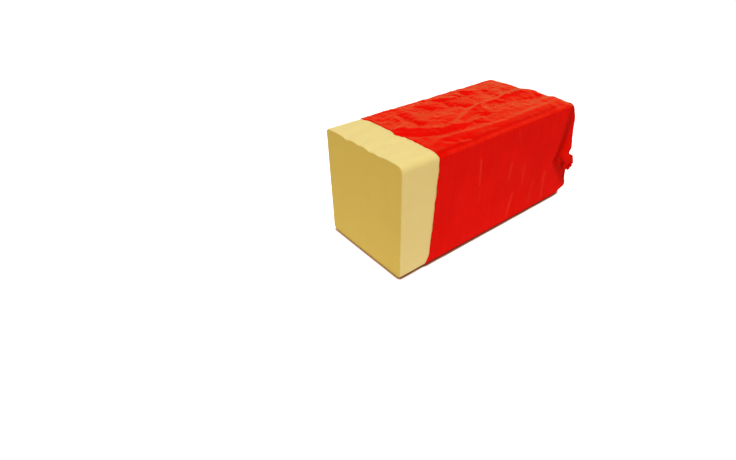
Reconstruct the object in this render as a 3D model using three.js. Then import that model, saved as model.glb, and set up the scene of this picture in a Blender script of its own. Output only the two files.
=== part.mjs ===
// A rectangular cheese loaf in a gathered red casing, cut open at one end.
//
// Standalone three.js model, in millimetres, +Z up. The loaf lies on its base along Y. Its cut face looks
// along -Y and the casing is gathered and clipped at the +Y end. The origin is in the middle of the base of
// the whole object. It has three separate pieces: the cheese, its casing and the clip.

import * as THREE from "three";
import { mergeVertices } from "three/addons/utils/BufferGeometryUtils.js";

// Driving dimensions of the wrapped loaf. "Along" counts from the cut face towards the gathered end.
const WIDTH = 100;
const HEIGHT = 105;
const LENGTH = 223; // cut face to the top of the gathered end
const END_LEAN = 15; // how much further the foot of that end reaches
const TOP_RADIUS = 5;
const BASE_RADIUS = 4.5;
const TOP_SHOULDER = 12; // how far before the end's rim its top and sides start to turn in
const BASE_SHOULDER = 20;

// The casing is drawn together low down on the end, near the +X side.
const GATHER_X = 38;
const GATHER_Z = 33;
const GATHER_ALONG = 241;

// The +X wall is pinched in front of the gather: a dent with its deepest point here. It fades out towards
// the top and the base, where it also comes nearer to the end.
const DENT_DEPTH = 5;
const DENT_ALONG = 213;
const DENT_Z = 38;
const DENT_HALF_WIDTH = 9;
const DENT_HALF_HEIGHT = 36;
const DENT_CURVE_UP = 0.0022; // per mm
const DENT_CURVE_DOWN = 0.011; // per mm

// The casing. Its cut edge slants from the top to the base.
const WALL = 0.8;
const EDGE_AT_TOP = 36.5;
const EDGE_AT_BASE = 31.5;
const FIT_GAP = 0.3; // clearance that keeps touching pieces apart

// The neck of the casing, and its tail past the clip
const NECK_RADIUS = 3.2;
const NECK_LENGTH = 3.6;
const TAIL_LENGTH = 4.4;
const TAIL_RADIUS = 5.6;
const TAIL_DRIFT_X = 4.6; // it is folded towards the near side
const TAIL_DRIFT_Z = -2.4;

// The clip, a flat wire bent round the neck
const CLIP_WIDTH = 2.4;
const CLIP_THICKNESS = 1.3;
const CLIP_SLIT = 0.08; // half the opening between its ends, in radians

// Facets
const CORNER_STEPS = 4;
const SIDE_STEPS = 8;
const DENT_STEPS = 6;
const DENT_STEP = 6;
const END_STEPS = 9;
const CLIP_STEPS = 20;

const OVERALL = GATHER_ALONG + NECK_LENGTH + TAIL_LENGTH;
const gather = new THREE.Vector2(GATHER_X, GATHER_Z);

// The loaf's cross-section as points in X and Z, going round from the base's +X corner.
function outline(inset) {
  const side = WIDTH / 2 - inset;
  const top = HEIGHT - inset;
  const rTop = TOP_RADIUS - inset;
  const rBase = BASE_RADIUS - inset;
  const corners = [
    [side - rBase, inset + rBase, rBase, -Math.PI / 2],
    [side - rTop, top - rTop, rTop, 0],
    [rTop - side, top - rTop, rTop, Math.PI / 2],
    [rBase - side, inset + rBase, rBase, Math.PI],
  ];
  const arcs = corners.map(([x, z, r, from]) =>
    new THREE.ArcCurve(x, z, r, from, from + Math.PI / 2, false).getPoints(CORNER_STEPS),
  );
  return arcs.flatMap((arc, i) => {
    const next = arcs[(i + 1) % arcs.length][0];
    const flat = new THREE.LineCurve(arc[CORNER_STEPS], next).getPoints(SIDE_STEPS);
    return [...arc, ...flat.slice(1, -1)];
  });
}

// Where the end's rim is for a point of the cross-section: the end leans, so its foot reaches furthest.
function rimAt(point) {
  const height = point.y / HEIGHT;
  return LENGTH + END_LEAN * (1 - height * height);
}

function shoulderAt(point) {
  const low = 1 - THREE.MathUtils.smoothstep(point.y, 0, HEIGHT / 4);
  return THREE.MathUtils.lerp(TOP_SHOULDER, BASE_SHOULDER, low);
}

// How far the dent is pressed in at a point of the cross-section, at a place along the loaf.
function dentDepth(point, along) {
  const rise = point.y - DENT_Z;
  const curve = rise > 0 ? DENT_CURVE_UP : DENT_CURVE_DOWN;
  const across = (along - DENT_ALONG - curve * rise * rise) / DENT_HALF_WIDTH;
  const upOrDown = rise / DENT_HALF_HEIGHT;
  const onWall = THREE.MathUtils.smoothstep(point.x, 0, WIDTH / 2);
  return DENT_DEPTH * onWall * Math.exp(-across * across - upOrDown * upOrDown);
}

// A ring of the cross-section. The place along the loaf and the dent are those of the outermost skin, so
// that the layers stay parallel.
function wallRing(inset, place) {
  const skin = outline(0);
  return outline(inset).map((p, i) => {
    const along = place(skin[i]);
    return new THREE.Vector3(p.x - dentDepth(skin[i], along), along, p.y);
  });
}

// The rings just before the end, close enough together to follow the dent.
function dentRings(inset) {
  const starts = (p) => rimAt(p) - shoulderAt(p);
  return Array.from({ length: DENT_STEPS }, (_, i) =>
    wallRing(inset, (p) => starts(p) - DENT_STEP * (DENT_STEPS - i)),
  );
}

// One meridian of the gathered end: how far it is from the gather, and how far along the loaf, in steps from
// the cross-section in to the gather.
function meridian(skinPoint, reach, inset, innerRadius, peak) {
  const rim = rimAt(skinPoint) - inset;
  const curve = new THREE.CubicBezierCurve(
    new THREE.Vector2(reach, rimAt(skinPoint) - shoulderAt(skinPoint)),
    new THREE.Vector2(reach, rim),
    new THREE.Vector2(THREE.MathUtils.lerp(innerRadius, reach, 0.75), rim + 1),
    new THREE.Vector2(innerRadius, peak),
  );
  return curve.getPoints(END_STEPS);
}

// Rings of the end, outermost first.
function endRings(inset, innerRadius, peak) {
  const skin = outline(0);
  const around = outline(inset);
  const meridians = around.map((p, i) => meridian(skin[i], p.distanceTo(gather), inset, innerRadius, peak));
  return meridians[0].map((_, step) =>
    around.map((point, i) => {
      const { x: radius, y: along } = meridians[i][step];
      const share = radius / point.distanceTo(gather);
      const at = gather.clone().lerp(point, share);
      const onSkin = gather.clone().lerp(skin[i], share);
      return new THREE.Vector3(at.x - dentDepth(onSkin, along), along, at.y);
    }),
  );
}

// A round ring of the neck or tail, its points matched to those of the cross-section.
function neckRing(radius, driftX, driftZ, along) {
  return outline(0).map((point) => {
    const out = point.clone().sub(gather).setLength(radius);
    return new THREE.Vector3(GATHER_X + driftX + out.x, along, GATHER_Z + driftZ + out.y);
  });
}

// A closed solid through rings with the same number of points, with a fan at each end. Rings that run back
// towards the cut face split their quads the other way, so that both skins of a wall have the same facets.
function loft(rings) {
  const count = rings[0].length;
  const positions = rings.flat().flatMap((p) => [p.x, p.y, p.z]);
  const index = [];
  const middle = (ring) => {
    const sum = ring.reduce((total, p) => total.add(p), new THREE.Vector3());
    positions.push(...sum.divideScalar(count).toArray());
    return positions.length / 3 - 1;
  };
  const first = middle(rings[0]);
  const last = middle(rings.at(-1));
  const lastRing = (rings.length - 1) * count;
  for (let i = 0; i < count; i += 1) {
    const j = (i + 1) % count;
    index.push(first, i, j);
    for (let r = 0; r < rings.length - 1; r += 1) {
      const near = r * count;
      const far = near + count;
      const goesBack = rings[r][i].y > rings[r + 1][i].y;
      if (goesBack) index.push(near + i, far + i, far + j, near + i, far + j, near + j);
      else index.push(near + i, far + i, near + j, near + j, far + i, far + j);
    }
    index.push(last, lastRing + j, lastRing + i);
  }
  const geometry = new THREE.BufferGeometry();
  geometry.setAttribute("position", new THREE.Float32BufferAttribute(positions, 3));
  geometry.setIndex(index);
  return mergeVertices(geometry);
}

function piece(name, geometry, material) {
  geometry.computeVertexNormals();
  const mesh = new THREE.Mesh(geometry, material);
  mesh.name = name;
  return mesh;
}

// The cheese fills the casing and stands out of it at the cut end.
function cheese() {
  const inset = WALL + FIT_GAP;
  const rings = [
    wallRing(inset, () => 0),
    wallRing(inset, () => LENGTH / 2),
    ...dentRings(inset),
    ...endRings(inset, 1, GATHER_ALONG - WALL - 3),
  ];
  const material = new THREE.MeshStandardMaterial({ color: 0xe9d58c, roughness: 0.55, metalness: 0 });
  return piece("cheese_block", loft(rings), material);
}

// The casing is one film: round the loaf, in to the neck and out again as the tail. The rings run from the
// end of its inside, forward to the cut edge, and back over its outside to the tail.
function casing() {
  const edge = (p) => THREE.MathUtils.lerp(EDGE_AT_BASE, EDGE_AT_TOP, p.y / HEIGHT);
  const inside = [...dentRings(WALL), ...endRings(WALL, 1, GATHER_ALONG - WALL - 2)].reverse();
  const outside = [...dentRings(0), ...endRings(0, NECK_RADIUS, GATHER_ALONG)];
  const neckEnd = GATHER_ALONG + NECK_LENGTH;
  const tailEnd = neckEnd + TAIL_LENGTH;
  const tail = [
    neckRing(NECK_RADIUS, 0, 0, GATHER_ALONG + 0.4),
    neckRing(NECK_RADIUS, 0, 0, neckEnd),
    neckRing(TAIL_RADIUS * 0.9, TAIL_DRIFT_X * 0.6, TAIL_DRIFT_Z * 0.5, neckEnd + TAIL_LENGTH * 0.3),
    neckRing(TAIL_RADIUS, TAIL_DRIFT_X, TAIL_DRIFT_Z, neckEnd + TAIL_LENGTH * 0.7),
    neckRing(TAIL_RADIUS * 0.8, TAIL_DRIFT_X, TAIL_DRIFT_Z, tailEnd),
  ];
  const rings = [...inside, wallRing(WALL, edge), wallRing(0, edge), ...outside, ...tail];
  const material = new THREE.MeshStandardMaterial({ color: 0xdf1a0e, roughness: 0.35, metalness: 0 });
  return piece("red_casing", loft(rings), material);
}

// The clip is one turn of flat wire with its two ends meeting below the neck.
function clip() {
  const inner = NECK_RADIUS + FIT_GAP;
  const from = -Math.PI / 2 + CLIP_SLIT;
  const to = (3 * Math.PI) / 2 - CLIP_SLIT;
  const band = new THREE.Shape();
  band.absarc(0, 0, inner + CLIP_THICKNESS, from, to, false);
  band.absarc(0, 0, inner, to, from, true);
  const options = { depth: CLIP_WIDTH, bevelEnabled: false, curveSegments: CLIP_STEPS };
  const geometry = new THREE.ExtrudeGeometry(band, options);
  geometry.deleteAttribute("normal");
  geometry.deleteAttribute("uv");
  const material = new THREE.MeshStandardMaterial({ color: 0xc4c6c8, roughness: 0.35, metalness: 1 });
  const mesh = piece("casing_clip", mergeVertices(geometry), material);
  const clearance = (NECK_LENGTH + 0.4 - CLIP_WIDTH) / 2;
  mesh.rotation.x = Math.PI / 2;
  mesh.position.set(GATHER_X, GATHER_ALONG + clearance + CLIP_WIDTH, GATHER_Z);
  return mesh;
}

const loaf = new THREE.Group();
loaf.add(cheese(), casing(), clip());
loaf.position.y = -OVERALL / 2;

export default loaf;
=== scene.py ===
"""A rectangular cheese loaf in a gathered red film casing, cut open at one end.

Shapes are worked out in millimetres in the loaf's own terms: x across, "along" from the cut face towards the
gathered end, and z up from the base. They are turned into metres in the shared frame when a mesh is written.
"""

import math

import bmesh
import bpy
import numpy as np
from bpy.props import FloatProperty, FloatVectorProperty, IntProperty, PointerProperty
from mathutils import Euler, Matrix, Vector, noise


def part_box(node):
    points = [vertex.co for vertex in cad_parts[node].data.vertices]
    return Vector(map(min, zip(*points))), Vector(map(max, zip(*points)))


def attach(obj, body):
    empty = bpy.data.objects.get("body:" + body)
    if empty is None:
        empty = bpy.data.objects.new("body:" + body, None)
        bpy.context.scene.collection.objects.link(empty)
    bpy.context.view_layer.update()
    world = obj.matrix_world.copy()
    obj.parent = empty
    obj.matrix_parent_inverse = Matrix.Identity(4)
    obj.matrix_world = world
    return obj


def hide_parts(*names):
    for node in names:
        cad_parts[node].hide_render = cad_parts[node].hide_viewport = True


bl_info = {
    "name": "Cheese loaf in casing",
    "version": (1, 0, 0),
    "blender": (4, 5, 0),
    "location": "3D View > Sidebar > Cheese Loaf",
    "description": "Builds a cut cheese loaf in a gathered red film casing, with its clip and studio",
    "category": "Add Mesh",
}

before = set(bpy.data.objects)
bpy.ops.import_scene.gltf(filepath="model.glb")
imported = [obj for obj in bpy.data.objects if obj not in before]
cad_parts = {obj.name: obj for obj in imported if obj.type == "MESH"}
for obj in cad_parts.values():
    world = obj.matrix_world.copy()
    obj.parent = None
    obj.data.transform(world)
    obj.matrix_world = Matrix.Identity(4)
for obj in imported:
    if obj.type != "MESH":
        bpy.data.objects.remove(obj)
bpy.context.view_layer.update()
SKIN_LOW, SKIN_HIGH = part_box("red_casing")
CHEESE_LOW, CHEESE_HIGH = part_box("cheese_block")
CLIP_LOW, CLIP_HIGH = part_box("casing_clip")

MM = 0.001
CUT_PLANE = CHEESE_LOW.y  # where the cut face lies in the frame, in metres
WIDTH = (SKIN_HIGH.x - SKIN_LOW.x) / MM
HEIGHT = SKIN_HIGH.z / MM
NECK_X = (CLIP_LOW.x + CLIP_HIGH.x) / 2 / MM
NECK_Z = (CLIP_LOW.z + CLIP_HIGH.z) / 2 / MM
CLIP_ALONG = ((CLIP_LOW.y + CLIP_HIGH.y) / 2 - CUT_PLANE) / MM

# The four sides of the loaf.
UP = (0, 0, 1)
DOWN = (0, 0, -1)
NEAR = (1, 0, 0)
FAR = (-1, 0, 0)
CORNER_SEGMENTS = 6
TIP_REACH = 0.01  # how far the closed tip of a unit tube stands past its end


# Settings


def size_setting(name, description, default):
    """A size in millimetres."""
    return FloatProperty(name=name, description=f"{description}, in millimetres", default=default)


def colour_setting(name, description, default):
    """An opaque colour."""
    return FloatVectorProperty(
        name=name, description=description, subtype="COLOR", size=4, default=(*default, 1.0)
    )


class LoafShape(bpy.types.PropertyGroup):
    """Sizes of the loaf, in millimetres."""

    length: size_setting("Length", "Cut face to the top of the gathered end", 225.0)
    end_lean: size_setting("End lean", "How much further the foot of the gathered end reaches", 13.0)
    near_top_radius: size_setting("Near top edge", "Radius of the top edge on +X", 5.5)
    far_top_radius: size_setting("Far top edge", "Radius of the top edge on -X", 4.0)
    near_base_radius: size_setting("Near base edge", "Radius of the base edge on +X", 4.5)
    far_base_radius: size_setting("Far base edge", "Radius of the base edge on -X", 5.5)
    dent_depth: size_setting("Dent depth", "Depth of the pinch in the +X wall beside the gather", 6.0)


class CasingSettings(bpy.types.PropertyGroup):
    """The red film."""

    thickness: size_setting("Film thickness", "Thickness of the film", 0.3)
    edge_top: size_setting(
        "Cut edge at top", "Distance of the film's cut edge behind the cut face, on top", 36.8
    )
    edge_base: size_setting(
        "Cut edge at base", "Distance of the film's cut edge behind the cut face, at the base", 32.6
    )
    wrinkle_height: FloatProperty(
        name="Wrinkle height", description="Scales every wrinkle of the film", default=1.0
    )
    pleats: IntProperty(
        name="Pleats", description="Pleats of the film round its gathered neck", default=17
    )
    colour: colour_setting("Film colour", "Colour of the film", (0.85, 0.0036, 0.0003))
    deep_colour: colour_setting(
        "Deep film colour", "Colour where the film looks thicker", (0.79, 0.0026, 0.0002)
    )
    # Painted shade colour for the film in the pinch, under the tail, over the near top edge and round the
    # neck.
    shade_and_fold_colour: colour_setting(
        "Doubled film colour", "Colour where the film lies folded on itself", (0.56, 0.0020, 0.0004)
    )
    # Painted highlight colour, laid along the raised creases of the side walls and a line under the near top
    # edge.
    crease_highlight_colour: colour_setting(
        "Crease colour", "Paler colour where the film is sharply creased", (0.90, 0.040, 0.016)
    )


class CheeseSettings(bpy.types.PropertyGroup):
    """The cheese."""

    rind_colour: colour_setting(
        "Outside colour", "Colour of the cheese's moulded outside", (0.865, 0.695, 0.272)
    )
    cut_colour: colour_setting("Cut colour", "Colour of the freshly cut face", (0.80, 0.58, 0.106))


class StudioSettings(bpy.types.PropertyGroup):
    """Camera, lights and floor."""

    lens: FloatProperty(name="Lens", description="Focal length in millimetres", default=21.267)
    camera_right: FloatProperty(
        name="Camera right", description="Camera's distance to the +X side of the loaf's middle",
        default=0.25613, unit="LENGTH",
    )
    camera_front: FloatProperty(
        name="Camera front", description="Camera's distance in front of the cut face", default=0.18369,
        unit="LENGTH",
    )
    camera_height: FloatProperty(
        name="Camera height", description="Camera's height", default=0.24557, unit="LENGTH"
    )
    azimuth: FloatProperty(
        name="Azimuth", description="Turn of the camera round the loaf from its cut end",
        default=math.radians(53.679), subtype="ANGLE",
    )
    elevation: FloatProperty(
        name="Elevation", description="How far the camera looks down", default=math.radians(35.039),
        subtype="ANGLE",
    )
    roll: FloatProperty(
        name="Roll", description="Tilt of the camera", default=math.radians(-1.700), subtype="ANGLE"
    )


# Mesh helpers


def deselect_everything():
    """Leaves object mode with nothing selected, so that an operator acts only on the new piece."""
    if bpy.context.object and bpy.context.object.mode != "OBJECT":
        bpy.ops.object.mode_set(mode="OBJECT")
    bpy.ops.object.select_all(action="DESELECT")


def activate(piece):
    """Makes the piece the only selected and active object."""
    deselect_everything()
    piece.select_set(True)
    bpy.context.view_layer.objects.active = piece


def select_parts(piece, kind, wanted):
    """In edit mode, selects the vertices, edges or faces of the piece for which wanted is true."""
    bpy.ops.mesh.select_mode(type={"verts": "VERT", "edges": "EDGE", "faces": "FACE"}[kind])
    bpy.ops.mesh.select_all(action="DESELECT")
    mesh = bmesh.from_edit_mesh(piece.data)
    for part in getattr(mesh, kind):
        if wanted(part):
            part.select_set(True)
    mesh.select_flush_mode()
    bmesh.update_edit_mesh(piece.data)


def apply_modifier(piece, kind, name, **values):
    """Adds a modifier with the values given, and applies it."""
    activate(piece)
    modifier = piece.modifiers.new(name, kind)
    for key, value in values.items():
        setattr(modifier, key, value)
    bpy.ops.object.modifier_apply(modifier=modifier.name)


def face_outwards(piece):
    """Turns every face of the piece outwards, and leaves the piece in edit mode."""
    activate(piece)
    bpy.ops.object.mode_set(mode="EDIT")
    bpy.ops.mesh.select_all(action="SELECT")
    bpy.ops.mesh.normals_make_consistent(inside=False)


def unit_tube(name, shape, steps, rings):
    """A tube with the loaf's cross-section and one metre long, for its rings to be shaped afterwards.

    It starts as a plane the size of the section. Its corners are bevelled round, its sides subdivided, and
    its outline extruded along Y and cut into rings. steps holds the divisions of each side.
    """
    width = WIDTH * MM
    height = HEIGHT * MM
    middle = Vector((0, 0, height / 2))
    shortest_side = 20 * MM
    deselect_everything()
    bpy.ops.mesh.primitive_plane_add(size=1, rotation=(math.radians(90), 0, 0))
    tube = bpy.context.object
    tube.name = name
    bpy.ops.object.transform_apply(location=True, rotation=True, scale=True)
    bpy.ops.object.mode_set(mode="EDIT")
    bpy.ops.transform.resize(value=(width, 1, height))
    bpy.ops.transform.translate(value=(0, 0, height / 2))
    corners = (
        (1, 1, shape.near_top_radius),
        (-1, 1, shape.far_top_radius),
        (-1, -1, shape.far_base_radius),
        (1, -1, shape.near_base_radius),
    )
    for side, up, radius in corners:
        at = Vector((side * width / 2, 0, height / 2 + up * height / 2))
        select_parts(tube, "verts", lambda v, at=at: (v.co - at).length < MM / 10)
        bpy.ops.mesh.bevel(offset=radius * MM, segments=CORNER_SEGMENTS, profile=0.5, affect="VERTICES")
    bpy.ops.mesh.select_all(action="SELECT")
    bpy.ops.mesh.delete(type="ONLY_FACE")
    for normal, cuts in steps:
        direction = Vector(normal)

        def on_side(edge, direction=direction):
            run = edge.verts[1].co - edge.verts[0].co
            centre = (edge.verts[0].co + edge.verts[1].co) / 2 - middle
            straight = abs(run.normalized().dot(direction)) < 0.001 and run.length > shortest_side
            return straight and centre.dot(direction) > 0

        select_parts(tube, "edges", on_side)
        bpy.ops.mesh.subdivide(number_cuts=cuts - 1)
    bpy.ops.mesh.select_all(action="SELECT")
    bpy.ops.mesh.extrude_edges_move(TRANSFORM_OT_translate={"value": (0, 1, 0)})
    select_parts(tube, "edges", lambda e: abs(e.verts[0].co.y - e.verts[1].co.y) > 0.5)
    bpy.ops.mesh.subdivide_edgering(number_cuts=rings - 2, interpolation="LINEAR")
    bpy.ops.object.mode_set(mode="OBJECT")
    return tube


def close_end(tube, far):
    """Draws an open end of a unit tube together to a point."""
    end = 1.0 if far else 0.0
    outwards = TIP_REACH if far else -TIP_REACH
    activate(tube)
    bpy.ops.object.mode_set(mode="EDIT")
    select_parts(tube, "edges", lambda e: all(abs(v.co.y - end) < TIP_REACH / 100 for v in e.verts))
    bpy.ops.mesh.extrude_edges_move(TRANSFORM_OT_translate={"value": (0, outwards, 0)})
    bpy.ops.mesh.merge(type="CENTER")
    bpy.ops.object.mode_set(mode="OBJECT")


class TubeGrid:
    """The vertices of a unit tube as rings and columns. x and z are the section's points, one a column."""

    def __init__(self, tube, rings):
        self.mesh = tube.data
        count = len(self.mesh.vertices)
        raw = np.zeros(count * 3, np.float32)
        self.mesh.vertices.foreach_get("co", raw)
        self.all = raw.reshape(-1, 3).astype(float)
        ring = np.rint(self.all[:, 1] * (rings - 1)).astype(int)
        inside = (self.all[:, 1] > -TIP_REACH / 2) & (self.all[:, 1] < 1 + TIP_REACH / 2)
        turn = np.arctan2(self.all[:, 2] - HEIGHT * MM / 2, self.all[:, 0])
        order = np.lexsort((turn, ring))
        order = order[inside[order]]
        self.order = order.reshape(rings, -1)
        self.tips = np.nonzero(~inside)[0]
        section = self.all[self.order[0]][:, [0, 2]] / MM
        self.x = section[:, 0]
        self.z = section[:, 1]

    def write(self, points, tips=()):
        """Puts the rings at points, in the loaf's millimetres, and the closed ends at tips."""
        self.all[self.order] = points
        for vertex, tip in zip(sorted(self.tips, key=lambda v: self.all[v, 1]), tips):
            self.all[vertex] = tip
        framed = self.all * MM
        framed[:, 1] += CUT_PLANE
        self.mesh.vertices.foreach_set("co", framed.astype(np.float32).ravel())
        self.mesh.update()


def smoothstep(value, low, high):
    """0 below low, 1 above high, and smooth between."""
    t = np.clip((value - low) / (high - low), 0, 1)
    return t * t * (3 - 2 * t)


def grid_normals(points):
    """Outward unit normals of a grid of rings and columns."""
    lengthwise = np.gradient(points, axis=0)
    wrapped = np.concatenate([points[:, -1:], points, points[:, :1]], axis=1)
    around = (wrapped[:, 2:] - wrapped[:, :-2]) / 2
    normals = np.cross(lengthwise, around)
    size = np.linalg.norm(normals, axis=2, keepdims=True)
    return normals / np.maximum(size, 1e-9)


def curved(points, rounds=3):
    """A polyline with its corners cut off again and again, until it looks curved."""
    line = np.array(points, float)
    for _ in range(rounds):
        first = 0.75 * line[:-1] + 0.25 * line[1:]
        second = 0.25 * line[:-1] + 0.75 * line[1:]
        middle = np.stack([first, second], axis=1).reshape(-1, 2)
        line = np.concatenate([line[:1], middle, line[-1:]])
    return line


def distance_to_line(u, v, line):
    """Distance from each point (u, v) to the polyline."""
    best = np.full(u.shape, np.inf)
    for (u0, v0), (u1, v1) in zip(line[:-1], line[1:]):
        du = u1 - u0
        dv = v1 - v0
        t = np.clip(((u - u0) * du + (v - v0) * dv) / max(du * du + dv * dv, 1e-9), 0, 1)
        best = np.minimum(best, np.hypot(u - u0 - t * du, v - v0 - t * dv))
    return best


def relief(u, v, strokes):
    """Height of a field of strokes: each is a height, a half width, a sharpness and its points."""
    height = np.zeros(u.shape)
    for amount, half_width, sharpness, points in strokes:
        away = distance_to_line(u, v, curved(points)) / half_width
        height += amount * np.exp(-(away**sharpness))
    return height


def noise_field(u, v, w, size, seed):
    """Smooth noise between about -1 and 1 at points in millimetres, with features of the size given."""
    flat = zip(u.ravel() / size, v.ravel() / size, w.ravel() / size)
    offset = Vector((seed * 17.3, seed * 5.1, seed * 9.7))
    values = [noise.noise(Vector(p) + offset) for p in flat]
    return np.array(values).reshape(u.shape)


# The loaf's shape

# Wrinkles of the top, as (height, half width, sharpness, [(along, x), ...]) in millimetres. A height below 0
# is a hollow.
TOP_WRINKLES = (
    # the long folds that run from the cut edge to the gathered end
    (1.3, 4.5, 1.5, [(43, -5), (53, 3), (63, 12), (74, 18), (86, 20), (100, 23), (113, 22)]),
    (1.2, 3.6, 1.5, [(84, 16), (100, 12), (117, 5), (135, -1), (156, -1), (180, -2), (200, -1)]),
    (0.7, 4.0, 1.6, [(48, 34), (66, 32), (84, 35), (108, 36), (128, 39), (165, 39), (206, 38)]),
    # folds that cross the front
    (0.9, 3.2, 1.5, [(47, -3), (54, -11), (58, -25)]),
    (0.7, 5.0, 1.8, [(69, -8), (74, -22), (72, -38)]),
    (0.6, 7.0, 2.0, [(78, -37), (100, -35)]),
    # bumps along the far side
    (1.3, 5.0, 1.7, [(110, -39), (122, -36)]),
    (1.3, 4.2, 1.7, [(127, -33), (136, -30)]),
    (0.9, 3.0, 1.6, [(143, -37), (144, -31)]),
    (1.2, 4.4, 1.7, [(158, -39), (163, -32)]),
    (0.7, 6.0, 2.0, [(172, -31), (196, -33)]),
    (0.5, 3.5, 1.6, [(172, -12), (186, -20)]),
    # folds in the middle
    (1.0, 4.2, 1.7, [(130, 20), (134, 9), (137, 0)]),
    (0.8, 3.0, 1.5, [(141, -4), (144, -14)]),
    (0.6, 7.0, 2.0, [(144, 24), (158, 22)]),
    (1.2, 6.5, 1.8, [(180, -1), (200, 2), (214, 6), (224, 6)]),
    (0.9, 4.0, 1.8, [(196, 30), (224, 29)]),
    # hollows
    (-1.4, 2.5, 1.7, [(34, 2), (41, 8), (48, 14), (57, 20)]),
    (-1.2, 2.2, 1.6, [(60, 23), (68, 25), (77, 26), (88, 26)]),
    (-1.0, 2.8, 1.6, [(65, -30), (64, -18), (63, -6), (66, 0)]),
    (-0.9, 8.0, 2.0, [(90, -22), (103, -15), (113, -14)]),
    (-1.1, 3.6, 1.7, [(82, 10), (94, 9), (106, 3), (118, -4), (128, -8)]),
    (-0.8, 3.0, 1.6, [(100, 17), (110, 14), (120, 12)]),
    (-1.2, 3.2, 1.6, [(118, -18), (118, -26), (122, -31)]),
    (-1.0, 2.8, 1.6, [(124, -14), (129, -9), (133, -6)]),
    (-0.9, 3.4, 1.7, [(145, -9), (148, -20), (150, -31)]),
    (-0.8, 3.2, 1.7, [(146, 8), (156, 6), (168, 10), (180, 13)]),
    (-0.6, 3.4, 1.7, [(167, -6), (171, -20)]),
    (-1.5, 4.6, 1.8, [(180, 24), (192, 20), (206, 20), (226, 21)]),
    (-0.6, 3.2, 1.7, [(100, 31), (110, 34), (128, 35)]),
    (-0.5, 3.5, 1.7, [(150, 34), (176, 32)]),
    (-1.0, 5.0, 2.0, [(192, -12), (208, -13), (226, -14)]),
    (-1.4, 5.0, 2.0, [(200, 46), (212, 43), (226, 42)]),
    (-0.7, 2.4, 1.5, [(56, 36), (62, 40)]),
    (-0.6, 2.4, 1.5, [(70, 42), (77, 44)]),
    (-0.5, 5.0, 2.0, [(44, -30), (54, -26)]),
    (-0.6, 2.5, 1.6, [(52, -20), (55, -17)]),
    # small puckers
    (-0.6, 3.2, 1.7, [(90, -34), (95, -28), (98, -22)]),
    (-0.9, 2.6, 1.6, [(105, -42), (111, -38), (116, -33)]),
    (-1.0, 2.0, 1.7, [(153, -38), (154, -29)]),
    (-0.7, 1.8, 1.6, [(141, -36), (141, -28)]),
    (-0.8, 2.4, 1.7, [(172, -27), (176, -22)]),
    (-0.7, 2.0, 1.6, [(172, -16), (173, -8)]),
    (-1.0, 1.8, 1.6, [(146, 2), (152, 1.5), (158, 2.5)]),
    (-1.0, 2.2, 1.6, [(119, 17), (125, 20.5), (131, 21)]),
    (-0.8, 1.8, 1.6, [(103, 27), (112, 31)]),
    (-0.9, 2.4, 1.6, [(186, 15), (195, 17), (204, 16)]),
)

# Lines pressed into the bare top of the cheese by the film that was cut away.
CHEESE_TOP_LINES = (
    (-0.9, 2.6, 1.7, [(-2, -18), (5, -24), (15, -26), (22, -28.5), (33, -32)]),
    (0.4, 5.0, 2.0, [(-2, -31), (12, -33), (30, -37)]),
    (0.4, 5.0, 2.0, [(-2, -9), (12, -14), (30, -18)]),
    (-0.5, 2.0, 1.6, [(-2, -3.5), (5, -4.5), (12, -7)]),
    (0.5, 3.6, 1.8, [(-2, 1), (8, 1.5), (18, 2)]),
    (-0.9, 2.6, 1.7, [(-2, 12), (6, 8.5), (15, 7), (21, 10), (26, 13)]),
    (-0.8, 2.2, 1.6, [(16, 2), (24, 0), (34, -1)]),
    (-0.5, 3.5, 1.8, [(-2, 22), (10, 23)]),
    (0.6, 5.5, 2.0, [(-2, 33), (8, 31), (22, 28)]),
    (-0.6, 2.0, 1.6, [(13, 38.5), (20, 36), (26, 32.5)]),
    (0.5, 4.0, 2.0, [(-2, 41), (14, 43), (34, 43)]),
)

# Creases of the +X wall, as (height, half width, sharpness, [(along, z), ...]).
NEAR_SIDE_CREASES = (
    (0.6, 1.0, 1.5, [(86.5, 84), (87.5, 72), (88.5, 60)]),
    (0.2, 1.0, 1.5, [(89, 56), (90, 44)]),
    (0.6, 1.2, 1.5, [(140, 32), (137.5, 18), (135, 6)]),
    (0.25, 1.6, 1.6, [(131, 66), (129, 50)]),
    (0.25, 1.8, 1.6, [(151, 58), (153, 46), (154, 38)]),
    (0.5, 1.8, 1.6, [(189, 38), (190, 24), (192, 10)]),
    (0.2, 1.3, 1.5, [(134, 97), (137, 88)]),
    (0.2, 1.4, 1.5, [(172, 34), (170, 12)]),
    (-0.4, 4.0, 1.8, [(112, 80), (110, 30)]),
    (-0.4, 3.6, 1.8, [(180, 56), (182, 15)]),
    (-0.3, 3.0, 1.8, [(96, 70), (97, 30)]),
)

# A painted highlight line along the +X wall just under its top edge, in the same form; it is not in the
# shape.
EDGE_HIGHLIGHT_LINE = (0.22, 0.9, 1.8, [(48, 101.6), (100, 102), (150, 102.6), (176, 101.8)])

# Folds that are drawn to the neck round the edge of the end, as (height, half width, sharpness,
# [(run, z), ...]). The run is measured over the film from the cut face, along the wall and on over the end.
NECK_FOLDS = (
    (3.6, 4.4, 1.8, [(222, 40), (230, 38.5), (238, 37), (248, 34)]),
    (2.0, 4.6, 1.8, [(226, 26), (231, 19), (236, 12)]),
    (1.0, 3.0, 1.7, [(231, 92), (233, 70), (236, 54)]),
    (1.2, 3.0, 1.7, [(236, 8), (243, 12), (250, 24)]),
)

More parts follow.
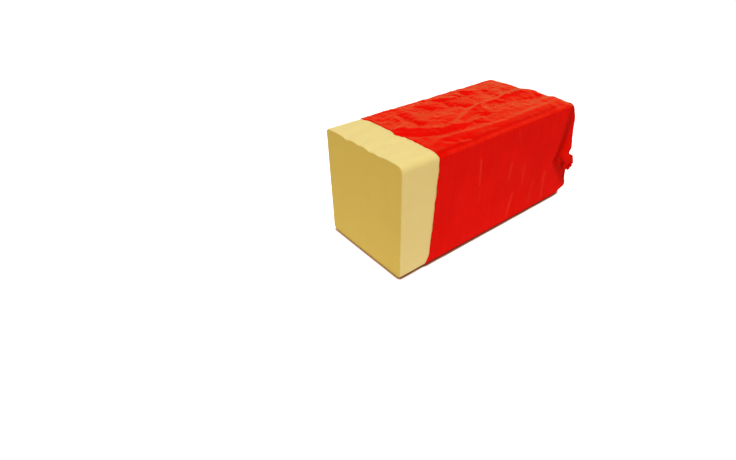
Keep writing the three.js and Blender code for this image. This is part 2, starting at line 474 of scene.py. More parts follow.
# Creases of the -X wall, in the same form as those of the +X wall.
FAR_SIDE_CREASES = (
    (0.8, 2.2, 1.6, [(70, 90), (72, 60), (70, 40)]),
    (0.7, 1.6, 1.5, [(112, 44), (114, 22), (113, 6)]),
    (0.9, 3.0, 1.6, [(160, 70), (163, 44), (166, 16)]),
    (-0.7, 4.0, 1.8, [(140, 86), (143, 40)]),
    (1.0, 2.6, 1.6, [(194, 98), (204, 70), (212, 48)]),
    (0.9, 2.4, 1.6, [(190, 60), (204, 48), (214, 38)]),
    (0.7, 2.4, 1.6, [(196, 10), (206, 22), (214, 28)]),
    (0.4, 1.6, 1.5, [(44, 99), (110, 101), (190, 100)]),
    (-1.1, 3.4, 1.7, [(204, 90), (214, 66), (220, 44)]),
    (-0.6, 2.4, 1.6, [(52, 60), (56, 30)]),
    (0.5, 1.4, 1.5, [(92, 82), (95, 56), (93, 34)]),
    (-0.5, 5.0, 1.9, [(86, 24), (104, 30), (120, 62)]),
    (0.5, 1.6, 1.5, [(128, 30), (131, 12)]),
    (0.4, 5.0, 2.0, [(182, 30), (176, 8)]),
)

# The pinch in the +X wall, in millimetres: its height above the base, and where it starts at that height.
PINCH_HEIGHT = 46
PINCH_ALONG = 198

# How much of its depth it loses again behind its valley, and over how many millimetres.
PINCH_OPENS = 0.9
PINCH_OPENS_OVER = 7

# The top slopes down towards its +X edge: where the slope starts, its width and its drop, in millimetres.
SLOPE_START = 32
SLOPE_WIDTH = 18
SLOPE_DROP = 2.2


def rim_along(shape, z):
    """Where the rim of the gathered end lies. The end leans, so its foot reaches furthest."""
    return shape.length + shape.end_lean * (1 - (z / HEIGHT) ** 2)


def turn_in_along(shape, z):
    """Where the walls start to turn in towards the gathered end."""
    low = 1 - smoothstep(z, 0, HEIGHT / 4)
    high = smoothstep(z, 0.85 * HEIGHT, HEIGHT)
    return rim_along(shape, z) - (12 + 8 * low + 6 * high)


def pinch_place(z):
    """Where the pinch in the +X wall starts at each height, how far it is from there to its valley, and the
    height above its deepest point."""
    rise = z - PINCH_HEIGHT
    leans_back = np.where(rise > 0, 10 * (1 - np.exp(-rise / 20)), -0.8 * rise)
    width = 10 + 10 * smoothstep(z, 8, 36) - 7 * smoothstep(z, 60, 95)
    return PINCH_ALONG + leans_back, width, rise


def fade_off(rise, above, below, sharpness):
    """1 where the rise is 0, fading out over the reaches given above and below."""
    return np.exp(-((np.abs(rise) / np.where(rise > 0, above, below)) ** sharpness))


def pinch_depth(shape, x, z, along):
    """Depth of the pinch in the +X wall. It slopes in gently to a crisp valley, and behind it comes most of
    the way out again."""
    front, width, rise = pinch_place(z)
    into = np.clip((along - front) / width, 0, 1)
    out_again = PINCH_OPENS * np.clip((along - front - width) / PINCH_OPENS_OVER, 0, 1)
    fade = fade_off(rise, 42.0, 34.0, 2.2)
    return shape.dent_depth * (into**1.4 - out_again) * fade * smoothstep(x, 5, WIDTH / 2)


def split(points):
    """The x, along and z of points."""
    return points[..., 0], points[..., 1], points[..., 2]


def film_depth(points):
    """Painted shade on the film, from 0 to 1: over the pinch's facet that turns away from the light, in the
    pit under the tail and over the near top edge, and round the neck, where the gathered film also lies in
    layers."""
    x, along, z = split(points)
    front, width, rise = pinch_place(z)
    into = smoothstep(along - front, -1, 6) * (1 - np.clip((along - front - width) / 4, 0, 1))
    facet = into * fade_off(rise, 62.0, 36.0, 2.6) * smoothstep(x, 20, 38)
    pit = smoothstep(x, 34, 40) * np.exp(-((np.hypot((along - 232) / 1.4, z - 20) / 7) ** 2.5))
    neck = np.exp(-((np.hypot(x - NECK_X, z - NECK_Z) / 14) ** 2)) * smoothstep(along, 225, 235)
    edge = smoothstep(x, 41, 46) * smoothstep(z, 102.4, 103.4)
    return np.clip(np.max([facet, pit, 0.5 * neck, 0.45 * edge], axis=0), 0, 1)


def crease_shine(points):
    """Painted highlight along the side walls' raised creases and a line under the near top edge, 0 to 1."""
    x, along, z = split(points)
    near_ridges = [stroke for stroke in NEAR_SIDE_CREASES if stroke[0] > 0] + [EDGE_HIGHLIGHT_LINE]
    far_ridges = [stroke for stroke in FAR_SIDE_CREASES if stroke[0] > 0]
    near = smoothstep(x, 44, 48) * relief(along, z, near_ridges)
    far = smoothstep(-x, 44, 48) * relief(along, z, far_ridges)
    sharpest = 0.6
    return np.clip((near + 0.6 * far) / sharpest, 0, 1)


def loaf_rings(shape, x, z, wall_places, end_steps, inner_radius, peak):
    """Rings of the plain loaf: the walls at the places given, then the end, curving in to its neck."""
    start = turn_in_along(shape, z)
    rim = rim_along(shape, z)
    across = np.broadcast_to(x, wall_places.shape)
    up = np.broadcast_to(z, wall_places.shape)
    walls = np.stack([across, wall_places, up], axis=2)
    reach = np.hypot(x - NECK_X, z - NECK_Z)
    t = np.linspace(0, 1, end_steps + 1)[1:, None]
    u = 1 - t
    third = inner_radius + 0.75 * (reach - inner_radius)
    radius = reach * (u**3 + 3 * u * u * t) + 3 * third * u * t * t + inner_radius * t**3
    along = start * u**3 + 3 * rim * u * u * t + 3 * (rim + 1) * u * t * t + peak * t**3
    share = radius / reach
    end = np.stack([NECK_X + (x - NECK_X) * share, along, NECK_Z + (z - NECK_Z) * share], axis=2)
    return np.concatenate([walls, end])


def pleat_height(points, count, seed):
    """Pleats of the gathered end: they fan out from the neck, deep near it and shallow at the rim."""
    dx = points[..., 0] - NECK_X
    dz = points[..., 2] - NECK_Z
    radius = np.hypot(dx, dz)
    turn = np.arctan2(dz, dx)
    east = np.cos(turn)
    north = np.sin(turn)
    wander = noise_field(east * 9, north * 9, radius, 11.0, seed)
    fold = np.abs(np.sin(turn * count / 2 + 1.3 * wander))
    broad = noise_field(east * 20, north * 20, radius * 0.15, 7.0, seed + 1)
    depth = 0.55 + 1.7 * np.exp(-radius / 26) - 1.7 * np.exp(-((radius / 4.5) ** 2))
    fade = 1 - smoothstep(radius, 50, 95)
    pleats = (1 - fold) ** 1.3 * depth - 0.3 * depth + 0.9 * broad * smoothstep(radius, 6, 30)
    return pleats * (0.25 + 0.75 * fade)


def skin_height(points, normals, section_x, bare):
    """Height of the wrinkles over the plain loaf. The bare cheese keeps only what was pressed into it."""
    x, along, z = split(points)
    on_top = smoothstep(normals[..., 2], 0.35, 0.95) * smoothstep(-normals[..., 1], -0.8, -0.2)
    on_near = smoothstep(normals[..., 0], 0.35, 0.95)
    on_far = smoothstep(-normals[..., 0], 0.35, 0.95)
    covered = smoothstep(along, 33, 39)
    height = on_top * relief(along, x, TOP_WRINKLES) * (covered if bare else 1)
    if bare:
        height += on_top * relief(along, x, CHEESE_TOP_LINES) * (1 - covered)
    down_slope = np.clip(section_x - SLOPE_START, 0, SLOPE_WIDTH) / SLOPE_WIDTH
    height -= on_top * SLOPE_DROP * down_slope**2 * covered
    height += on_near * relief(along, z, NEAR_SIDE_CREASES)
    height += on_far * relief(along, z, FAR_SIDE_CREASES)
    steps = np.linalg.norm(np.diff(points, axis=0), axis=2)
    run = along[:1] + np.concatenate([np.zeros_like(along[:1]), np.cumsum(steps, axis=0)])
    height += smoothstep(section_x, 38, 46) * relief(run, z, NECK_FOLDS)
    ripple = noise_field(x, along * 0.55, z, 9.0, 3) * 0.45 + noise_field(x, along * 0.7, z, 4.2, 4) * 0.22
    crinkle = 1 - np.abs(noise_field(x, along * 0.6, z * 1.2, 5.2, 5)) * 2
    crinkle = np.clip(crinkle, 0, 1) ** 3 * (1 - smoothstep(x, 20, 34))
    height += on_top * (ripple + 0.38 * crinkle) * (0.15 + 0.85 * covered)
    height += (1 - on_top) * 0.25 * noise_field(x * 0.6, along, z * 0.35, 16.0, 6)
    return height


def wrinkled(shape, section_x, rings, wrinkle_scale, bare=False):
    """The plain rings with the pinch and the wrinkles added."""
    pinched = rings.copy()
    pinched[..., 0] -= pinch_depth(shape, rings[..., 0], rings[..., 2], rings[..., 1])
    normals = grid_normals(pinched)
    height = skin_height(rings, normals, section_x, bare) * wrinkle_scale
    flat_base = smoothstep(normals[..., 2], -0.9, -0.5)
    return pinched + normals * (height * flat_base)[..., None]


# Materials


def node_adder(tree):
    """A function that adds nodes to the tree. Each input is a value, or the socket to link it from."""

    def add(kind, inputs=None, **settings):
        node = tree.nodes.new(kind)
        for key, value in settings.items():
            setattr(node, key, value)
        for key, value in (inputs or {}).items():
            if isinstance(value, bpy.types.NodeSocket):
                tree.links.new(value, node.inputs[key])
            else:
                node.inputs[key].default_value = value
        return node

    return add


def new_material(name):
    """A node material, its Principled shader, and the functions that add nodes and links to it."""
    material = bpy.data.materials.new(name)
    material.use_nodes = True
    tree = material.node_tree
    return material, tree.nodes["Principled BSDF"], node_adder(tree), tree.links.new


def stretched_place(add, scale):
    """Object coordinates, stretched."""
    place = add("ShaderNodeTexCoord")
    return add("ShaderNodeMapping", {"Vector": place.outputs["Object"], "Scale": scale}).outputs["Vector"]


def noise_texture(add, place, scale, detail, **inputs):
    """The value of a noise pattern."""
    named = {"Vector": place, "Scale": scale, "Detail": detail}
    named.update({key.title(): value for key, value in inputs.items()})
    return add("ShaderNodeTexNoise", named).outputs["Fac"]


def contrasted(add, value, low, high):
    """A noise value with more contrast, between low and high."""
    inputs = {"Value": value, "From Min": 0.35, "From Max": 0.65, "To Min": low, "To Max": high}
    return add("ShaderNodeMapRange", inputs).outputs["Result"]


def between(add, value, low, high):
    """A value from 0 to 1, taken to between low and high."""
    return add("ShaderNodeMapRange", {"Value": value, "To Min": low, "To Max": high}).outputs["Result"]


def computed(add, operation, first, second, **settings):
    """The result of a sum on two values or sockets."""
    return add("ShaderNodeMath", {0: first, 1: second}, operation=operation, **settings).outputs[0]


def blend(add, factor, first, second):
    """A colour between two, each a colour or a socket."""
    inputs = {"Factor": factor, "A": first, "B": second}
    return add("ShaderNodeMix", inputs, data_type="RGBA").outputs["Result"]


def vertex_amount(add, name):
    """The amount kept on the vertices under the name."""
    return add("ShaderNodeAttribute", attribute_name=name, attribute_type="GEOMETRY").outputs["Fac"]


def bump(add, height, strength, distance, **inputs):
    """A normal turned by a height."""
    named = {"Height": height, "Strength": strength, "Distance": distance}
    named.update({key.title(): value for key, value in inputs.items()})
    return add("ShaderNodeBump", named).outputs["Normal"]


def film_material(settings):
    """Glossy red film, a little uneven in colour and polish, with painted shade in the pinch, under the
    tail, over the near top edge and round the neck, a painted highlight along its creases, and fine
    crinkles."""
    material, shader, add, link = new_material("red film")
    place = stretched_place(add, (1, 1, 1))
    cloudy = contrasted(add, noise_texture(add, place, 34.0, 4.0, roughness=0.55), 0.0, 1.0)
    upright = stretched_place(add, (1.0, 1.0, 0.07))
    streaks = noise_texture(add, upright, 240.0, 4.0, distortion=0.6)
    mottled = computed(add, "ADD", cloudy, contrasted(add, streaks, -0.28, 0.28), use_clamp=True)
    tint = blend(add, mottled, settings.deep_colour, settings.colour)
    # Painted shade: the film is darkened in the pinch, under the tail, over the near top edge and round the
    # neck.
    shaded_and_folded = blend(add, vertex_amount(add, "film_depth"), tint, settings.shade_and_fold_colour)
    # Painted highlight along the creases, broken up by the streaks.
    broken = contrasted(add, streaks, 0.25, 1.0)
    pale = computed(add, "MULTIPLY", vertex_amount(add, "crease_shine"), broken)
    link(blend(add, pale, shaded_and_folded, settings.crease_highlight_colour), shader.inputs["Base Color"])
    patchy = noise_texture(add, place, 90.0, 3.0)
    link(between(add, patchy, 0.15, 0.24), shader.inputs["Roughness"])
    long_way = stretched_place(add, (1.0, 0.45, 1.0))
    crinkles = noise_texture(add, long_way, 260.0, 5.0, roughness=0.6)
    grain = noise_texture(add, place, 1400.0, 2.0)
    crinkled = bump(add, crinkles, 0.12, 0.0008)
    link(bump(add, grain, 0.08, 0.0002, normal=crinkled), shader.inputs["Normal"])
    shader.inputs["IOR"].default_value = 1.45
    shader.inputs["Specular IOR Level"].default_value = 0.075
    return material


def cheese_material(name, colour, mottle, grain_strength):
    """Close-textured cheese: slightly see-through, faintly mottled, with a fine grain."""
    material, shader, add, link = new_material(name)
    place = stretched_place(add, (1, 1, 1))
    cloudy = noise_texture(add, place, 60.0, 5.0, roughness=0.6)
    lighter = [min(1.0, channel * (1 + mottle)) for channel in colour[:3]] + [1.0]
    darker = [channel * (1 - mottle) for channel in colour[:3]] + [1.0]
    link(blend(add, cloudy, darker, lighter), shader.inputs["Base Color"])
    grain = noise_texture(add, place, 900.0, 4.0, roughness=0.6)
    link(bump(add, grain, grain_strength, 0.0003), shader.inputs["Normal"])
    shine = noise_texture(add, place, 240.0, 2.0)
    link(between(add, shine, 0.46, 0.62), shader.inputs["Roughness"])
    shader.inputs["Specular IOR Level"].default_value = 0.3
    shader.inputs["Subsurface Weight"].default_value = 0.12
    shader.inputs["Subsurface Radius"].default_value = (1.0, 0.6, 0.25)
    shader.inputs["Subsurface Scale"].default_value = 0.003
    return material


def clip_material():
    """Drawn aluminium wire, brushed along its length and slightly scuffed."""
    material, shader, add, link = new_material("clip aluminium")
    brushed = noise_texture(add, stretched_place(add, (1.0, 6.0, 1.0)), 700.0, 4.0)
    dull = (0.58, 0.59, 0.60, 1.0)
    bright = (0.80, 0.81, 0.82, 1.0)
    link(blend(add, brushed, dull, bright), shader.inputs["Base Color"])
    link(between(add, brushed, 0.24, 0.42), shader.inputs["Roughness"])
    link(bump(add, brushed, 0.2, 0.0001), shader.inputs["Normal"])
    shader.inputs["Metallic"].default_value = 1.0
    return material


# Operators


class LOAF_OT_cheese(bpy.types.Operator):
    """Builds the cheese: the bare cut end, and the rest of the loaf under the casing"""

    bl_idname = "loaf.cheese"
    bl_label = "Cheese"

    def execute(self, context):
        shape = context.scene.loaf_shape
        film = context.scene.loaf_casing
        settings = context.scene.loaf_cheese
        face_rings = 26
        bare_rings = 48
        hidden_rings = 24
        end_steps = 16
        rings = face_rings + bare_rings + hidden_rings + end_steps
        steps = ((UP, 64), (NEAR, 48), (FAR, 48), (DOWN, 24))
        piece = unit_tube("cheese", shape, steps, rings)
        close_end(piece, far=False)
        close_end(piece, far=True)
        grid = TubeGrid(piece, rings)
        bare_length = 40.0
        bare = np.linspace(0, bare_length, bare_rings)[:, None] * np.ones_like(grid.x)
        far = turn_in_along(shape, grid.z)
        hidden = bare_length + np.linspace(0, 1, hidden_rings + 1)[1:, None] * (far - bare_length)
        places = np.concatenate([bare, hidden])
        end_radius = 2.0
        end_gap = 5
        body = loaf_rings(shape, grid.x, grid.z, places, end_steps, end_radius, CLIP_ALONG - end_gap)
        body = wrinkled(shape, grid.x, body, film.wrinkle_height, bare=True)
        self.draw_in(shape, body, bare_length)
        self.pits(body)
        self.round_cut_edge(body)
        outline = body[0]
        middle = np.array([outline[:, 0].mean(), 0.0, outline[:, 2].mean()])
        share = np.linspace(0, 1, face_rings + 1)[1:-1, None, None] ** 0.8
        smallest_ring = np.full((1, 1, 1), 0.02)
        share = np.concatenate([smallest_ring, share])
        face = middle + (outline - middle) * share
        face[..., 1] = self.cut_surface(face[..., 0], face[..., 2]) + outline[:, 1] * share[..., 0] ** 12
        points = np.concatenate([face, body])
        tips = (middle + (0, self.cut_surface(middle[:1], middle[2:])[0], 0), body[-1].mean(axis=0))
        grid.write(points, tips)
        self.finish(piece, settings)
        return {"FINISHED"}

    def draw_in(self, shape, body, bare_length):
        """Keeps the cheese clear of the film: a little where it is bare, more where the film covers it, and
        most near the gathered end."""
        clearance = 0.5 + 2.5 * smoothstep(body[..., 1], bare_length, bare_length + 14)
        body -= grid_normals(body) * clearance[..., None]
        near_end = smoothstep(body[..., 1], shape.length - 45, shape.length - 20)
        narrowed = 1 - 0.14 * near_end
        body[..., 0] *= narrowed
        body[..., 2] = HEIGHT / 2 + (body[..., 2] - HEIGHT / 2) * narrowed
        body[..., 1] -= 6 * near_end

    def pits(self, body):
        """Presses small holes into the moulded +X side, and nicks into the edge of the cut."""
        holes = (  # along, height, radius, depth
            (26, 75, 0.8, 0.55),
            (18, 65.5, 0.7, 0.5),
            (14.5, 40.5, 1.0, 0.8),
            (5, 25.5, 0.9, 0.6),
            (14.5, 24.5, 0.7, 0.6),
            (25, 17.5, 0.9, 0.7),
            (10, 15.5, 0.7, 0.5),
            (9, 79, 0.6, 0.4),
            (0.5, 64, 1.6, 0.7),
            (0.5, 22, 1.4, 0.6),
        )
        on_side = smoothstep(body[..., 0], WIDTH / 2 - 3, WIDTH / 2 - 1)
        for along, z, radius, depth in holes:
            away = np.hypot(body[..., 1] - along, body[..., 2] - z) / radius
            body[..., 0] -= on_side * depth * np.exp(-(away**2.4))

    def round_cut_edge(self, body):
        """Eases the knife's edge all round by a fraction of a millimetre."""
        ease = 0.35 * np.exp(-body[..., 1] / 0.45)
        body -= grid_normals(body) * ease[..., None]

    def cut_surface(self, x, z):
        """How deep the cut face lies: nearly flat, with the slow waves and fine drag lines of a knife."""
        waves = 0.22 * noise_field(x, x * 0, z, 34.0, 8)
        drag = 0.04 * noise_field(x * 0.12, x * 0, z, 2.2, 9)
        mean_depth = 0.25
        return waves + drag + mean_depth

    def finish(self, piece, settings):
        """Turns the faces outwards and gives the cut face its own material."""
        rind = cheese_material("cheese outside", settings.rind_colour, 0.03, 0.10)
        cut = cheese_material("cheese cut face", settings.cut_colour, 0.035, 0.16)
        piece.data.materials.append(rind)
        piece.data.materials.append(cut)
        face_outwards(piece)
        just_behind = CUT_PLANE + MM
        select_parts(piece, "faces", lambda f: f.normal.y < -0.8 and f.calc_center_median().y < just_behind)
        bpy.context.object.active_material_index = 1
        bpy.ops.object.material_slot_assign()
        bpy.ops.object.mode_set(mode="OBJECT")
        bpy.ops.object.shade_smooth()
        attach(piece, "root")
        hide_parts("cheese_block")


class LOAF_OT_casing(bpy.types.Operator):
    """Builds the red film casing, from its cut edge over the wrinkled walls to the gathered tail"""

    bl_idname = "loaf.casing"
    bl_label = "Red casing"

    def execute(self, context):
        shape = context.scene.loaf_shape
        film = context.scene.loaf_casing
        wall_rings = 168
        end_steps = 34
        tail_rings = 20
        rings = wall_rings + end_steps + tail_rings
        steps = ((UP, 84), (NEAR, 48), (FAR, 34), (DOWN, 14))
        piece = unit_tube("casing", shape, steps, rings)
        close_end(piece, far=True)
        grid = TubeGrid(piece, rings)
        edge = self.cut_edge(film, grid.x, grid.z)
        start = turn_in_along(shape, grid.z)
        bead = np.array([0, 0.12, 0.3, 0.55, 0.85, 1.2, 1.7, 2.3])[:, None]  # for the rounded edge
        plain = np.linspace(0, 1, wall_rings - len(bead) + 1)[1:, None]
        front = edge + bead
        places = np.concatenate([front, front[-1] + plain * (start - front[-1])])
        neck_radius = 3.1
        peak = CLIP_ALONG - 2.2
        body = loaf_rings(shape, grid.x, grid.z, places, end_steps, neck_radius, peak)
        body = wrinkled(shape, grid.x, body, film.wrinkle_height)
        body = self.add_pleats(film, body, wall_rings)
        body = self.round_edge(body, edge)
        tail = self.tail(grid, neck_radius, peak, tail_rings)
        tip = tail[-1].mean(axis=0) - np.array([1.2, 1.6, -1.0])
        shown = np.concatenate([body, tail])
        grid.write(shown, (tip,))
        # Painted shade, and the gathered neck's layers, for the film's colour.
        self.mark(piece, grid, "film_depth", film_depth(shown))
        self.mark(piece, grid, "crease_shine", crease_shine(shown))
        self.finish(piece, film)
        return {"FINISHED"}

    def mark(self, piece, grid, name, amounts):
        """Keeps an amount on each vertex, for the film's colour."""
        values = np.zeros(len(piece.data.vertices), np.float32)
        values[grid.order] = amounts
        attribute = piece.data.attributes.new(name, "FLOAT", "POINT")
        attribute.data.foreach_set("value", values)

    def cut_edge(self, film, x, z):
        """The film's cut edge: it slants back from the base, waves a little and runs forward at one fold."""
        edge = film.edge_base + (film.edge_top - film.edge_base) * smoothstep(z, -5, 95)
        under = 1 - smoothstep(z, 0.5, 14)
        edge = edge - 4.5 * under**1.5 * smoothstep(x, -10, 40)
        on_top = smoothstep(z, HEIGHT - 3, HEIGHT)
        edge = edge - 2.3 * on_top * np.exp(-(((x + 0.5) / 4.0) ** 2))
        edge = edge - 1.4 * on_top * smoothstep(-x, 34, 46)
        flat = np.zeros_like(x)
        edge = edge + 0.9 * noise_field(x, flat, z, 13.0, 11) + 0.45 * noise_field(x, flat, z, 4.5, 12)
        return edge

    def add_pleats(self, film, body, wall_rings):
        """Adds the pleats, from just before the end on. The base stays flat."""
        normals = grid_normals(body)
        height = pleat_height(body, film.pleats, 21)
        ring = np.arange(len(body))[:, None]
        grow = smoothstep(ring, wall_rings - 6, wall_rings + 8)
        flat_base = smoothstep(normals[..., 2], -0.9, -0.5)
        return body + normals * (height * grow * flat_base)[..., None]

    def round_edge(self, body, edge):
        """Rounds the film's cut edge down on to the cheese, standing a hair higher here and there."""
        normals = grid_normals(body)
        x, along, z = split(body)
        back = along - edge
        down = 0.5 * (1 - np.sqrt(1 - (1 - np.clip(back / 1.2, 0, 1)) ** 2))
        stand = 0.25 * (0.6 + noise_field(x, x * 0, z, 8.0, 14)) * np.exp(-((back / 4) ** 2))
        not_base = smoothstep(normals[..., 2], -0.9, -0.5)
        return body + normals * (stand * not_base - down)[..., None]

    def tail(self, grid, neck_radius, peak, count):
        """The neck through the clip, and the ruffled tail folded over towards the near side."""
        neck_end = CLIP_ALONG + 1.7
        neck_share = 0.3
        turn = np.arctan2(grid.z - NECK_Z, grid.x - NECK_X)
        sideways = np.cos(turn)
        upwards = np.sin(turn)
        rings = []
        for step in np.linspace(0, 1, count + 1)[1:]:
            if step <= neck_share:
                along = peak + (neck_end - peak) * step / neck_share
                crimp = 1 + 0.08 * np.sin(turn * 13)
                out = neck_radius * crimp
                row = [NECK_X + sideways * out, along + 0 * out, NECK_Z + upwards * out]
                rings.append(np.stack(row, axis=1))
                continue
            bent = (step - neck_share) / (1 - neck_share)
            swing = math.radians(38) * bent
            middle = np.array([NECK_X + 6.2 * bent**1.2, neck_end + 5.2 * bent, NECK_Z - 6.6 * bent**0.9])
            flare = float(smoothstep(np.array(bent), 0.0, 0.55))
            close = float(smoothstep(np.array(bent), 0.8, 1.0))
            radius = (neck_radius + 3.4 * flare) * (1 - 0.3 * close)
            ruffle = 0.15 * np.sin(turn * 7 + 1.0 + bent) + 0.09 * np.sin(turn * 12 + 2.0 - bent * 2)
            out = radius * (1 + ruffle * (0.3 + 0.9 * flare))
            across = np.array([math.cos(swing), -math.sin(swing), -0.3 * flare])
            up = np.array([0.25 * flare, 0, 1])
            thin = 1 - 0.25 * flare
            tall = 1 + 0.08 * flare
            spread = np.outer(sideways * out * thin, across) + np.outer(upwards * out * tall, up)
            rings.append(middle + spread)
        return np.array(rings)

    def finish(self, piece, film):
        """Turns the faces outwards and gives the film its thickness."""
        face_outwards(piece)
        bpy.ops.object.mode_set(mode="OBJECT")
        apply_modifier(
            piece, "SOLIDIFY", "film wall", thickness=film.thickness * MM, offset=-1.0, use_even_offset=False
        )
        bpy.ops.object.shade_smooth()
        piece.data.materials.append(film_material(film))
        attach(piece, "root")
        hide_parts("red_casing")


class LOAF_OT_clip(bpy.types.Operator):
    """Builds the aluminium clip that is crimped round the casing's neck"""

    bl_idname = "loaf.clip"
    bl_label = "Casing clip"

    def execute(self, context):
        wire_width = (CLIP_HIGH.y - CLIP_LOW.y) * 0.98
        wire_height = 1.25 * MM
        first_slice = 0.4 * MM
        outer = (CLIP_HIGH.x - CLIP_LOW.x) / 2
        middle = Vector((NECK_X * MM, CLIP_ALONG * MM + CUT_PLANE, NECK_Z * MM))
        deselect_everything()
        bpy.ops.mesh.primitive_cube_add(size=1, location=middle + Vector((0, 0, outer - wire_height / 2)))
        piece = bpy.context.object
        piece.name = "clip"
        piece.scale = (first_slice, wire_width, wire_height)
        bpy.ops.object.transform_apply(location=True, rotation=True, scale=True)
        bpy.ops.object.mode_set(mode="EDIT")
        select_parts(piece, "faces", lambda f: f.normal.x < -0.5)
        bpy.ops.mesh.delete(type="FACE")
        select_parts(piece, "faces", lambda f: f.normal.x > 0.5)
        bpy.ops.mesh.spin(steps=48, angle=math.radians(352), center=middle, axis=(0, 1, 0))
        bpy.ops.mesh.select_all(action="SELECT")
        bpy.ops.mesh.fill_holes(sides=4)
        bpy.ops.mesh.select_all(action="SELECT")
        bpy.ops.mesh.remove_doubles(threshold=MM / 100)
        bpy.ops.mesh.normals_make_consistent(inside=False)
        bpy.ops.object.mode_set(mode="OBJECT")
        apply_modifier(piece, "BEVEL", "rolled edges", width=0.35 * MM, segments=3, limit_method="ANGLE")
        bpy.ops.object.shade_smooth_by_angle(angle=math.radians(40))
        piece.data.materials.append(clip_material())
        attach(piece, "root")
        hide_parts("casing_clip")
        return {"FINISHED"}


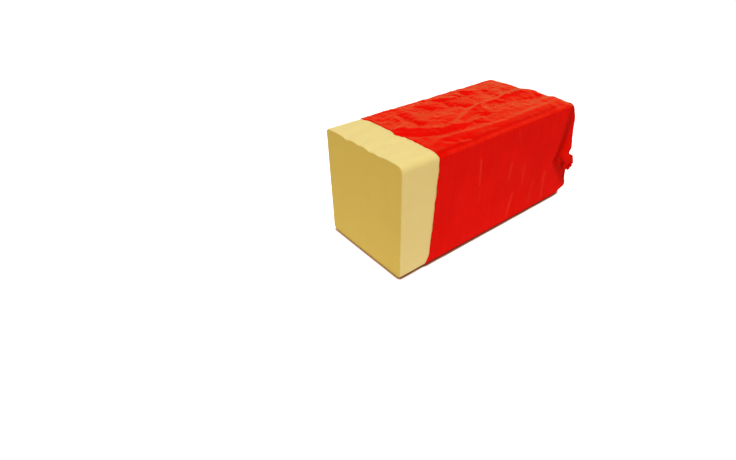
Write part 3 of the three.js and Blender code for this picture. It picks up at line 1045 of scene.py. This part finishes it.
class LOAF_OT_studio(bpy.types.Operator):
    """Sets up the camera, the soft lights and the pale floor"""

    bl_idname = "loaf.studio"
    bl_label = "Studio"

    def execute(self, context):
        settings = context.scene.loaf_studio
        self.camera(context, settings)
        self.floor()
        self.softbox(place=(0.28, -0.15, 1.50), target=(0, 0, 0.05), size=1.2, power=14.7)
        self.surroundings(context)
        return {"FINISHED"}

    def camera(self, context, settings):
        """Adds the camera, aimed by its own angles."""
        place = (settings.camera_right, CUT_PLANE - settings.camera_front, settings.camera_height)
        deselect_everything()
        bpy.ops.object.camera_add(location=place)
        camera = bpy.context.object
        camera.name = "camera"
        aim = Euler((math.radians(90) - settings.elevation, 0, settings.azimuth)).to_matrix()
        turned = aim @ Matrix.Rotation(settings.roll, 3, "Z")
        camera.rotation_euler = turned.to_euler()
        camera.data.lens = settings.lens
        camera.data.sensor_width = 36.0
        camera.data.clip_start = 0.01
        context.scene.camera = camera

    def floor(self):
        """Adds the floor. It glows, so it looks white and lights the loaf from below, but doesn't shine in
        the film. Close to what rests on it, a painted contact shadow darkens its glow to a warm brown."""
        # Painted contact shadow: within this reach of the loaf the glow darkens and turns this warm brown.
        contact_reach = 0.0028
        contact_colour = (0.75, 0.30, 0.16, 1)
        glow_colour = (1.0, 0.94, 0.92, 1)
        deselect_everything()
        bpy.ops.mesh.primitive_plane_add(size=8)
        floor = bpy.context.object
        floor.name = "floor"
        material, shader, add, link = new_material("white floor")
        shader.inputs["Base Color"].default_value = (0.07, 0.035, 0.02, 1)
        shader.inputs["Roughness"].default_value = 0.9
        shader.inputs["Specular IOR Level"].default_value = 0.0
        corner = add("ShaderNodeAmbientOcclusion", {"Distance": contact_reach}, samples=16)
        contact_shadow = computed(add, "POWER", corner.outputs["AO"], 2.5)
        place = add("ShaderNodeTexCoord")
        away = add("ShaderNodeVectorMath", {0: place.outputs["Object"]}, operation="LENGTH")
        fall = {"From Min": 0.12, "From Max": 0.55, "To Min": 1.02, "To Max": 0.5}
        pool = add("ShaderNodeMapRange", {"Value": away.outputs["Value"], **fall})
        ray = add("ShaderNodeLightPath")
        unmirrored = computed(add, "SUBTRACT", 1.0, ray.outputs["Is Glossy Ray"])
        bounce = computed(add, "MULTIPLY", pool.outputs["Result"], unmirrored)
        seen = computed(add, "MULTIPLY", ray.outputs["Is Camera Ray"], 0.7)
        glow = computed(add, "ADD", bounce, seen)
        # The painted contact shadow darkens the glow and tints it brown.
        link(computed(add, "MULTIPLY", glow, contact_shadow), shader.inputs["Emission Strength"])
        link(blend(add, contact_shadow, contact_colour, glow_colour), shader.inputs["Emission Color"])
        floor.data.materials.append(material)

    def softbox(self, place, target, size, power):
        """Adds the large soft light overhead. It leaves no shine of its own on the film."""
        deselect_everything()
        bpy.ops.object.light_add(type="AREA", location=place)
        light = bpy.context.object
        light.name = "overhead softbox"
        light.data.size = size
        light.data.energy = power
        light.visible_glossy = False
        light.rotation_euler = (Vector(target) - Vector(place)).to_track_quat("-Z", "Y").to_euler()

    def surroundings(self, context):
        """Sets the room. The camera sees it white, its light is warm from the sides and grey from above, and
        only a warm band round the horizon shines in the film."""
        world = bpy.data.worlds.new("pale room")
        world.use_nodes = True
        tree = world.node_tree
        add = node_adder(tree)
        place = add("ShaderNodeTexCoord")
        parts = add("ShaderNodeSeparateXYZ", {0: place.outputs["Generated"]})
        height = parts.outputs["Z"]
        ray = add("ShaderNodeLightPath")
        lighting = self.ramp(add, height, (0.15, (0.83, 0.70, 0.27, 1)), (0.42, (0.41, 0.41, 0.41, 1)))
        mirrored = self.ramp(add, height, (0.42, (0.66, 0.58, 0.18, 1)), (0.70, (0.0, 0.0, 0.0, 1)))
        room = blend(add, ray.outputs["Is Glossy Ray"], lighting, mirrored)
        around = tree.nodes["Background"]
        tree.links.new(room, around.inputs["Color"])
        around.inputs["Strength"].default_value = 1.0
        backdrop = add("ShaderNodeBackground", {"Color": (1, 1, 1, 1), "Strength": 1.0})
        shaders = {"Fac": ray.outputs["Is Camera Ray"], 1: around.outputs[0], 2: backdrop.outputs[0]}
        either = add("ShaderNodeMixShader", shaders)
        tree.links.new(either.outputs[0], tree.nodes["World Output"].inputs["Surface"])
        context.scene.world = world
        context.scene.view_settings.view_transform = "Standard"

    def ramp(self, add, value, *stops):
        """A colour that follows the value between two stops, each a position and a colour."""
        node = add("ShaderNodeValToRGB", {"Fac": value})
        for element, (position, colour) in zip(node.color_ramp.elements, stops):
            element.position = position
            element.color = colour
        return node.outputs["Color"]


class LOAF_PT_panel(bpy.types.Panel):
    """Lists the pieces of the loaf"""

    bl_label = "Cheese Loaf"
    bl_idname = "LOAF_PT_panel"
    bl_space_type = "VIEW_3D"
    bl_region_type = "UI"
    bl_category = "Cheese Loaf"

    def draw(self, context):
        for operator in OPERATORS:
            self.layout.operator(operator.bl_idname)
        for group in SETTINGS:
            box = self.layout.box()
            settings = getattr(context.scene, group)
            for key in settings.__annotations__:
                box.prop(settings, key)


OPERATORS = (LOAF_OT_cheese, LOAF_OT_casing, LOAF_OT_clip, LOAF_OT_studio)
SETTINGS = {
    "loaf_shape": LoafShape,
    "loaf_casing": CasingSettings,
    "loaf_cheese": CheeseSettings,
    "loaf_studio": StudioSettings,
}


def register():
    for name, group in SETTINGS.items():
        bpy.utils.register_class(group)
        setattr(bpy.types.Scene, name, PointerProperty(type=group))
    for operator in OPERATORS:
        bpy.utils.register_class(operator)
    bpy.utils.register_class(LOAF_PT_panel)


def unregister():
    bpy.utils.unregister_class(LOAF_PT_panel)
    for operator in reversed(OPERATORS):
        bpy.utils.unregister_class(operator)
    for name, group in SETTINGS.items():
        delattr(bpy.types.Scene, name)
        bpy.utils.unregister_class(group)


def main():
    register()
    bpy.ops.loaf.cheese()
    bpy.ops.loaf.casing()
    bpy.ops.loaf.clip()
    bpy.ops.loaf.studio()


if __name__ == "__main__":
    main()
